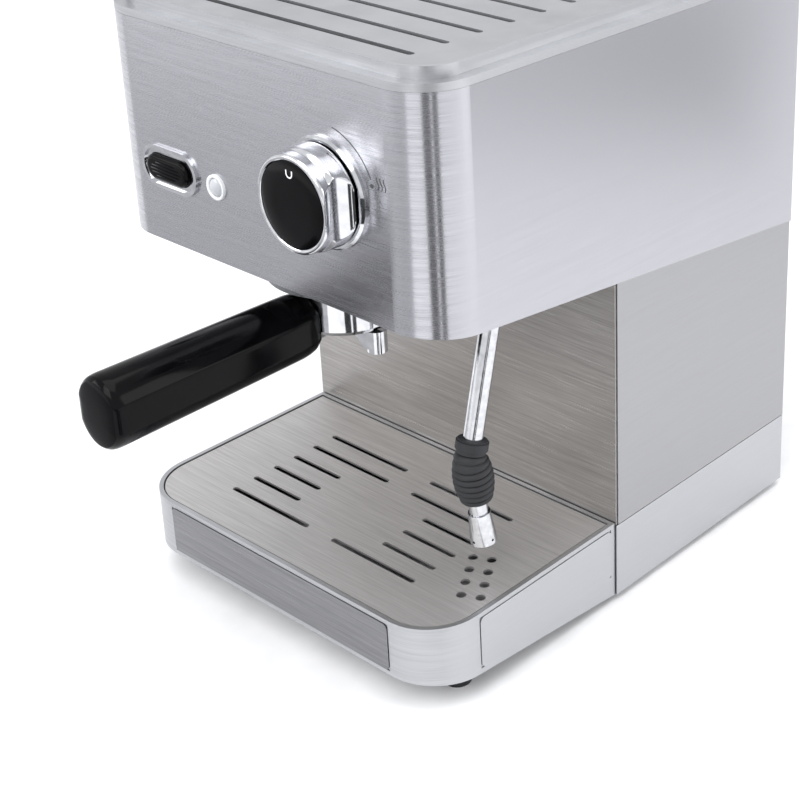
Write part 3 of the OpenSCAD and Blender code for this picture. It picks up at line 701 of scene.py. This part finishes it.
@dataclass
class SelectorKnob:
    """Chromed knob with two finger scoops, a black disc and its pointer, and the marks round it."""

    x: float = 50.0 * MM
    z: float = 260.3 * MM
    # The sizes from here on are in millimetres
    scoop_x: float = 32.6
    scoop_z: float = 12.4
    scoop_r: float = 13.0
    sides: int = 180
    # Radius and height above the panel
    profile: tuple[tuple[float, float], ...] = (
        (23.0, 3.4), (24.4, 3.5), (25.0, 4.0), (25.2, 4.6), (25.1, 6.5), (25.0, 8.5), (24.95, 10.5),
        (24.8, 12.2), (24.5, 13.2), (23.9, 14.2), (23.62, 15.0), (23.6, 16.2), (23.6, 17.6), (23.6, 18.8),
        (23.5, 19.6), (23.1, 20.2), (22.5, 20.5), (21.6, 20.45), (21.1, 20.1), (21.02, 19.4), (21.0, 18.95),
    )
    disc_profile: tuple[tuple[float, float], ...] = (
        (19.6, 18.97), (20.9, 18.97), (20.98, 19.6), (20.8, 20.0), (20.2, 20.25), (12.0, 20.4), (5.0, 20.45),
    )
    disc_sides: int = 128
    # The pointer is a small U: half its width, where its bend is centred, where its arms end
    pointer_half: float = 1.9
    pointer_centre: float = 15.0
    pointer_end: float = 16.6
    pointer_width: float = 0.7
    pointer_level: float = 20.44
    # Printed marks: an arc, a dot at each stop and three wavy lines
    print_level: float = 0.1
    print_width: float = 0.5
    print_depth: float = 0.12
    arc_r: float = 33.5
    arc_degrees: tuple[int, int, int] = (24, 79, 3)
    steam_dot: tuple[float, float, float] = (31.0, 10.6, 1.1)
    off_dot: tuple[float, float, float] = (-42.2, 1.5, 0.9)
    dot_sides: int = 24
    puff_foot: tuple[float, float] = (37.0, 9.5)
    puff_pitch: float = 2.2
    puff_sway: float = 0.7
    puff_bend: float = 0.9  # radians per millimetre
    puff_height: int = 7

    def scooped(self, radius: float, angle: float, height: float) -> Vector:
        """Point of the knob's side, pulled in where a finger scoop takes it.

        Args:
            radius: Radius of the side before the scoop, in millimetres.
            angle: Angle round the knob in radians.
            height: Height above the panel in millimetres.

        Returns:
            The point in metres, on the frame of the panel.
        """
        x, y = radius * math.cos(angle), radius * math.sin(angle)
        reach = self.scoop_r**2 - (height - self.scoop_z) ** 2
        if reach > 0 and abs(x) > self.scoop_x - math.sqrt(reach):
            x = math.copysign(self.scoop_x - math.sqrt(reach), x)
        return Vector((x * MM, y * MM, height * MM))

    def body(self, place: Matrix) -> bpy.types.Object:
        """Makes the chromed body.

        Args:
            place: Frame on the panel.

        Returns:
            The new object.
        """
        rings = []
        for k in range(len(self.profile) - 1):
            (r0, h0), (r1, h1) = self.profile[k], self.profile[k + 1]
            for share in (0.0, 0.5):
                radius, height = r0 + (r1 - r0) * share, h0 + (h1 - h0) * share
                turn = [2 * math.pi * i / self.sides for i in range(self.sides)]
                rings.append([tuple(place @ self.scooped(radius, a, height)) for a in turn])
        return loft("knob_shell", rings, crease=35.0)

    def disc(self, place: Matrix) -> bpy.types.Object:
        """Black disc let into the knob's face."""
        return lathe("knob_disc", metres(self.disc_profile), place, sides=self.disc_sides)

    def strip(
        self, name: str, line: Sequence[tuple[float, float]], width: float, level: float, place: Matrix
    ) -> bpy.types.Object:
        """Makes a thin printed or inlaid strip along a line.

        Args:
            name: Name of the piece.
            line: Points along the middle of the strip, in millimetres.
            width: Width of the strip in millimetres.
            level: Height of its top above the panel in millimetres.
            place: Frame on the panel.

        Returns:
            The new object.
        """
        rings = []
        for k, (x, y) in enumerate(line):
            x0, y0 = line[max(k - 1, 0)]
            x1, y1 = line[min(k + 1, len(line) - 1)]
            length = math.hypot(x1 - x0, y1 - y0)
            nx, ny = -(y1 - y0) / length * width / 2, (x1 - x0) / length * width / 2
            under = level - self.print_depth
            corners = [(x + nx, y + ny, level), (x - nx, y - ny, level)]
            corners += [(x - nx, y - ny, under), (x + nx, y + ny, under)]
            rings.append([tuple(place @ Vector((a * MM, b * MM, c * MM))) for a, b, c in corners])
        return loft(name, rings, crease=30.0)

    def dot(self, name: str, x: float, y: float, radius: float, place: Matrix) -> bpy.types.Object:
        """Makes a small printed dot, its sizes in millimetres.

        Args:
            name: Name of the piece.
            x: Sideways place from the knob's axis.
            y: Upward place from the knob's axis.
            radius: Radius of the dot.
            place: Frame on the panel.

        Returns:
            The new object.
        """
        spot = place @ Matrix.Translation((x * MM, y * MM, 0))
        rows = [(radius, 0.0), (radius, self.print_level), (radius / 2, self.print_level)]
        return lathe(name, metres(rows), spot, sides=self.dot_sides)

    def pointer(self, place: Matrix) -> bpy.types.Object:
        """Makes the pale U on the disc.

        Args:
            place: Frame on the panel.

        Returns:
            The new object.
        """
        bend = []
        for degrees in range(180, 361, 20):
            angle = math.radians(degrees)
            x = self.pointer_half * math.cos(angle)
            bend.append((x, self.pointer_centre + self.pointer_half * math.sin(angle)))
        line = [(-self.pointer_half, self.pointer_end)] + bend + [(self.pointer_half, self.pointer_end)]
        return self.strip("knob_pointer", line, self.pointer_width, self.pointer_level, place)

    def marks(self, place: Matrix) -> list[bpy.types.Object]:
        """Makes the marks printed round the knob.

        Args:
            place: Frame on the panel.

        Returns:
            The arc, the two dots and the three wavy lines.
        """
        turn = [math.radians(degrees) for degrees in range(*self.arc_degrees)]
        arc = [(self.arc_r * math.cos(a), self.arc_r * math.sin(a)) for a in turn]
        made = [self.strip("dial_arc", arc, self.print_width, self.print_level, place)]
        for name, spot in (("dial_dot_steam", self.steam_dot), ("dial_dot_off", self.off_dot)):
            made.append(self.dot(name, *spot, place))
        foot_x, foot_y = self.puff_foot
        for k in range(3):
            x = foot_x + (k - 1) * self.puff_pitch
            rise = range(self.puff_height)
            wave = [(x + self.puff_sway * math.sin(t * self.puff_bend), foot_y + t) for t in rise]
            made.append(self.strip(f"dial_steam_{k}", wave, self.print_width, self.print_level, place))
        return made

    def build(self, materials: dict[str, bpy.types.Material]) -> None:
        """Builds the knob and the marks round it.

        Args:
            materials: Materials by the short name of their finish.
        """
        place = panel_place(self.x, self.z)
        finish_piece(self.body(place), materials["chrome"], "knob", ["knob_body"])
        finish_piece(self.disc(place), materials["gloss"], "knob", ["knob_cap"])
        finish_piece(self.pointer(place), materials["print"], "knob")
        for mark in self.marks(place):
            finish_piece(mark, materials["ink"], "housing")


@dataclass
class PowerButton:
    """Black push cap with fine ribs in its bright oval rim."""

    x: float = -66.0 * MM
    z: float = 243.0 * MM
    # The sizes from here on are in millimetres
    length: float = 32.2
    width: float = 13.4
    # How far each ring lies inside the outline, and its height above the panel
    profile: tuple[tuple[float, float], ...] = (
        (0.0, -5.9), (0.0, 2.0), (0.15, 2.5), (0.5, 2.8), (0.8, 3.0), (0.9, 3.25), (1.4, 3.5), (2.6, 3.62),
    )
    ribs: int = 5
    rib_pitch: float = 1.75
    rib_half: float = 11.6  # half the length of the middle rib
    rib_bow: float = 0.35  # how fast the outer ribs get shorter
    rib_foot: float = 3.5
    # Half width and top of a rib: at its two ends, and along its run
    rib_end: tuple[float, float] = (0.2, 3.66)
    rib_run: tuple[float, float] = (0.42, 3.95)
    rib_lead: float = 0.5
    rib_taper: float = 0.7

    def oval(self, inset: float, level: float, place: Matrix) -> list[Point]:
        """Makes one ring of the cap.

        Args:
            inset: How far the ring lies inside the outline.
            level: Height above the panel.
            place: Frame on the panel.

        Returns:
            Points round the ring.
        """
        outline = stadium((self.length - 2 * inset) * MM, (self.width - 2 * inset) * MM)
        return [tuple(place @ Vector((x, y, level * MM))) for x, y in outline]

    def rib(self, k: int, place: Matrix) -> bpy.types.Object:
        """Makes one rib.

        Args:
            k: Number of the rib from the bottom.
            place: Frame on the panel.

        Returns:
            The new object.
        """
        y = (k - (self.ribs - 1) / 2) * self.rib_pitch
        half = self.rib_half - self.rib_bow * y * y
        rings = []
        for x in (-half, -half + self.rib_lead, half - self.rib_lead, half):
            thick, high = self.rib_end if abs(x) == half else self.rib_run
            slim = thick * self.rib_taper
            foot = self.rib_foot
            section = [(y - thick, foot), (y - slim, high), (y + slim, high), (y + thick, foot)]
            rings.append([tuple(place @ Vector((x * MM, b * MM, c * MM))) for b, c in section])
        return loft(f"button_rib_{k}", rings)

    def build(self, materials: dict[str, bpy.types.Material]) -> None:
        """Builds the cap and its ribs.

        Args:
            materials: Materials by the short name of their finish.
        """
        place = panel_place(self.x, self.z)
        cap = loft("button_face", [self.oval(*ring, place) for ring in self.profile], crease=35.0)
        finish_piece(cap, materials["gloss"], "button", ["button_cap"])
        for k in range(self.ribs):
            finish_piece(self.rib(k, place), materials["gloss"], "button")


@dataclass
class Lamp:
    """Indicator lamp: a frosted rim round a domed eye, painted grey for the reflector seen through a clear
    dome.
    """

    x: float = -30.4 * MM
    z: float = 242.6 * MM
    sides: int = 64
    # Radius and height above the panel, in millimetres
    rim: tuple[tuple[float, float], ...] = (
        (6.6, -5.8), (6.6, 0.9), (6.45, 1.35), (6.0, 1.6), (5.4, 1.5), (5.0, 1.1), (4.8, 0.5), (4.75, -4.0),
    )
    eye: tuple[tuple[float, float], ...] = (
        (4.6, -3.8), (4.65, 0.3), (4.4, 0.8), (3.7, 1.25), (2.7, 1.6), (1.5, 1.8), (0.5, 1.86),
    )

    def build(self, materials: dict[str, bpy.types.Material]) -> None:
        """Builds the rim and the eye.

        Args:
            materials: Materials by the short name of their finish.
        """
        place = panel_place(self.x, self.z)
        rim = lathe("lamp_rim", metres(self.rim), place, sides=self.sides)
        finish_piece(rim, materials["lens"], "housing", ["lamp_lens"])
        eye = lathe("lamp_eye", metres(self.eye), place, sides=self.sides)
        finish_piece(eye, materials["eye"], "housing")


@dataclass
class WandGrip:
    """Ribbed rubber sleeve that follows the wand round its bend."""

    x: float = 90.0 * MM
    # Places along Y and Z: where the wand bends, its mouth and its ball
    bend: tuple[float, float] = (FRONT + 54.9 * MM, 116.6 * MM)
    mouth: tuple[float, float] = (FRONT + 62.3 * MM, 64.8 * MM)
    ball: tuple[float, float] = (FRONT + 75.0 * MM, 194.0 * MM)
    # Reach of the sleeve below and above the bend
    low: float = 25.4 * MM
    high: float = 9.7 * MM
    blend: float = 4.0 * MM  # the bend is spread this far each way
    ribs: int = 8
    sides: int = 72
    steps: int = 168
    # Share of the length where the smooth collar starts; its band, and its two radii
    collar: float = 0.80
    collar_band: tuple[float, float] = (0.28, 0.9)
    collar_r: tuple[float, float] = (7.5 * MM, 8.3 * MM)
    # Radius of the ribbed part at its ends, how far it swells, and the depth of its grooves
    slim_r: float = 7.0 * MM
    swell: float = 3.4 * MM
    groove: float = 1.7 * MM
    # Part of a half wave that the swell takes, and how full the swell and the ribs are
    swell_run: float = 0.92
    swell_start: float = 0.06
    swell_power: float = 0.8
    rib_power: float = 0.5

    def centre(self, share: float) -> tuple[Vector, Vector]:
        """Finds a point of the sleeve's middle line.

        Args:
            share: Share of its length, from below.

        Returns:
            The point and the line's direction there.
        """
        bend = Vector((self.x, *self.bend))
        down = (Vector((self.x, *self.mouth)) - bend).normalized()
        up = (Vector((self.x, *self.ball)) - bend).normalized()
        along = share * (self.low + self.high) - self.low
        turn = min(max((along + self.blend) / (2 * self.blend), 0.0), 1.0)
        direction = (-down).lerp(up, turn * turn * (3 - 2 * turn)).normalized()
        return bend + (up * along if along > 0 else down * -along), direction

    def radius(self, share: float) -> float:
        """Finds the outer radius.

        Args:
            share: Share of the sleeve's length, from below.

        Returns:
            The radius in metres.
        """
        if share > self.collar:
            step = (share - self.collar) / (1 - self.collar)
            starts, stops = self.collar_band
            return self.collar_r[starts < step < stops]
        run = share / self.collar
        full = math.sin(math.pi * min(run * self.swell_run + self.swell_start, 1.0)) ** self.swell_power
        wave = abs(math.sin(math.pi * self.ribs * run)) ** self.rib_power
        return self.slim_r + self.swell * full - self.groove * (1 - wave)

    def build(self, materials: dict[str, bpy.types.Material]) -> None:
        """Builds the sleeve.

        Args:
            materials: Materials by the short name of their finish.
        """
        rings = []
        side = Vector((1, 0, 0))
        turn = [2 * math.pi * i / self.sides for i in range(self.sides)]
        for k in range(self.steps + 1):
            share = k / self.steps
            middle, direction = self.centre(share)
            front = direction.cross(side).normalized()
            radius = self.radius(share)
            ring = [middle + side * radius * math.cos(a) + front * radius * math.sin(a) for a in turn]
            rings.append([tuple(point) for point in ring])
        sleeve = loft("wand_sleeve", rings, crease=60.0)
        finish_piece(sleeve, materials["rubber"], "wand", ["wand_grip"])


@dataclass(frozen=True)
class SoftBox:
    """Soft light: where it hangs, what it faces, its width and height in metres and its watts."""

    name: str
    place: Point
    aim: Point
    size: tuple[float, float]
    power: float


@dataclass(frozen=True)
class FloorCard:
    """Card on the floor that the steel mirrors as a darker band.

    It is a piece of a ring round a foot point: from near to far, and from one bearing to another,
    in degrees from the front towards the right.
    """

    name: str
    tone: str
    near: float
    far: float
    left: float
    right: float
    foot: tuple[float, float]


@dataclass
class Studio:
    """Pale floor, soft lights and the camera."""

    lens_mm: float = 77.447
    sensor_mm: float = 36.0
    shift_x: float = -0.29445
    shift_y: float = -0.24273
    yaw: float = 39.023
    pitch: float = 22.376
    stand: Point = (613.86 * MM, (-462.81 - 104.0) * MM, 551.13 * MM)
    sees: tuple[float, float] = (0.05, 40.0)
    floor_half: float = 6.0
    card_z: float = 2.0 * MM
    sky_tone: str = "F2F3F5"
    sky_strength: float = 1.08
    lights: tuple[SoftBox, ...] = (
        SoftBox("back_right", (1.7, 1.3, 0.9), (0.1, 0.0, 0.15), (1.6, 1.4), 15.0),
        SoftBox("top", (0.2, -0.1, 2.0), (0.0, 0.0, 0.1), (1.6, 1.6), 16.0),
        SoftBox("front_top", (0.35, -1.1, 1.3), (0.0, -0.05, 0.05), (0.9, 0.9), 9.0),
        SoftBox("front_left", (-1.2, -1.6, 1.0), (0.0, -0.1, 0.25), (1.3, 1.0), 15.0),
    )
    cards: tuple[FloorCard, ...] = (
        FloorCard("card_left", "A0A0A2", 0.2, 1.4, -72.0, 12.0, (0.02, -0.09)),
        FloorCard("card_corner", "141416", 0.2, 2.0, 36.0, 52.0, (0.1, -0.08)),
        FloorCard("card_corner_thin", "141416", 0.2, 2.0, 56.0, 66.0, (0.1, -0.08)),
        FloorCard("card_back", "8C8C8E", 0.85, 1.8, 128.0, 152.0, (0.1, -0.08)),
    )

    def sheet(self, name: str, corners: Sequence[Point], finish: Moulded) -> bpy.types.Object:
        """Lays one four-cornered sheet that belongs to the stage.

        Args:
            name: Name of the sheet.
            corners: Its corners in order.
            finish: Its finish.

        Returns:
            The new object.
        """
        mesh = bpy.data.meshes.new(name)
        mesh.from_pydata(corners, [], [(0, 1, 2, 3)])
        sheet = bpy.data.objects.new(name, mesh)
        bpy.context.scene.collection.objects.link(sheet)
        dress(sheet, finish.material())
        return sheet

    def floor(self) -> None:
        """Lays the pale floor."""
        half = self.floor_half
        corners = [(-half, -half, 0), (half, -half, 0), (half, half, 0), (-half, half, 0)]
        paper = Moulded("paper_matt_coated", "EDEDEE", "F4F4F5", 0.7, texture_mm=2.0, depth_mm=0.01)
        self.sheet("floor", corners, paper)

    def soft_box(self, box: SoftBox) -> None:
        """Hangs one area light.

        Args:
            box: The light.
        """
        lamp = bpy.data.lights.new(box.name, "AREA")
        lamp.shape = "RECTANGLE"
        lamp.size, lamp.size_y = box.size
        lamp.energy = box.power
        light = bpy.data.objects.new(box.name, lamp)
        light.location = box.place
        light.rotation_euler = (Vector(box.aim) - Vector(box.place)).to_track_quat("-Z", "Y").to_euler()
        bpy.context.scene.collection.objects.link(light)

    def floor_card(self, card: FloorCard) -> None:
        """Lays a card on the floor.

        Args:
            card: The card.
        """
        corners = []
        left, right, near, far = card.left, card.right, card.near, card.far
        for bearing, reach in ((left, near), (right, near), (right, far), (left, far)):
            angle = math.radians(bearing)
            x, y = card.foot[0] + reach * math.sin(angle), card.foot[1] - reach * math.cos(angle)
            corners.append((x, y, self.card_z))
        felt = Moulded("felt_pressed_" + card.name, card.tone, card.tone, 0.9, texture_mm=2.0, depth_mm=0.2)
        laid = self.sheet(card.name, corners, felt)
        # only mirrors see the card, so the floor stays plain and pale from every side
        laid.visible_camera = laid.visible_diffuse = laid.visible_shadow = laid.visible_transmission = False

    def sky(self) -> None:
        """Fills the room with even pale light."""
        world = bpy.data.worlds.new("room")
        world.use_nodes = True
        background = next(n for n in world.node_tree.nodes if n.type == "BACKGROUND")
        background.inputs["Color"].default_value = hex_linear(self.sky_tone)
        background.inputs["Strength"].default_value = self.sky_strength
        bpy.context.scene.world = world

    def camera(self) -> None:
        """Sets the camera on its stand."""
        data = bpy.data.cameras.new("camera")
        data.lens = self.lens_mm
        data.sensor_width = self.sensor_mm
        data.shift_x, data.shift_y = self.shift_x, self.shift_y
        data.clip_start, data.clip_end = self.sees
        camera = bpy.data.objects.new("camera", data)
        camera.location = self.stand
        camera.rotation_euler = (math.radians(90 - self.pitch), 0.0, math.radians(self.yaw))
        bpy.context.scene.collection.objects.link(camera)
        bpy.context.scene.camera = camera

    def build(self) -> None:
        """Builds the whole stage."""
        bpy.context.scene.view_settings.view_transform = "Standard"
        self.floor()
        self.sky()
        for box in self.lights:
            self.soft_box(box)
        for card in self.cards:
            self.floor_card(card)
        self.camera()


def main() -> None:
    """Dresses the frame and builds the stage."""
    logging.basicConfig(level=logging.INFO, format="%(name)s: %(message)s")
    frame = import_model()
    materials = carried_materials(frame["nodes"])
    LOG.info("%d finishes on %d nodes", len(materials), len(frame["nodes"]))
    for assembly in (Handle(), SelectorKnob(), PowerButton(), Lamp(), WandGrip()):
        assembly.build(materials)
    Studio().build()


if __name__ == "__main__":
    main()
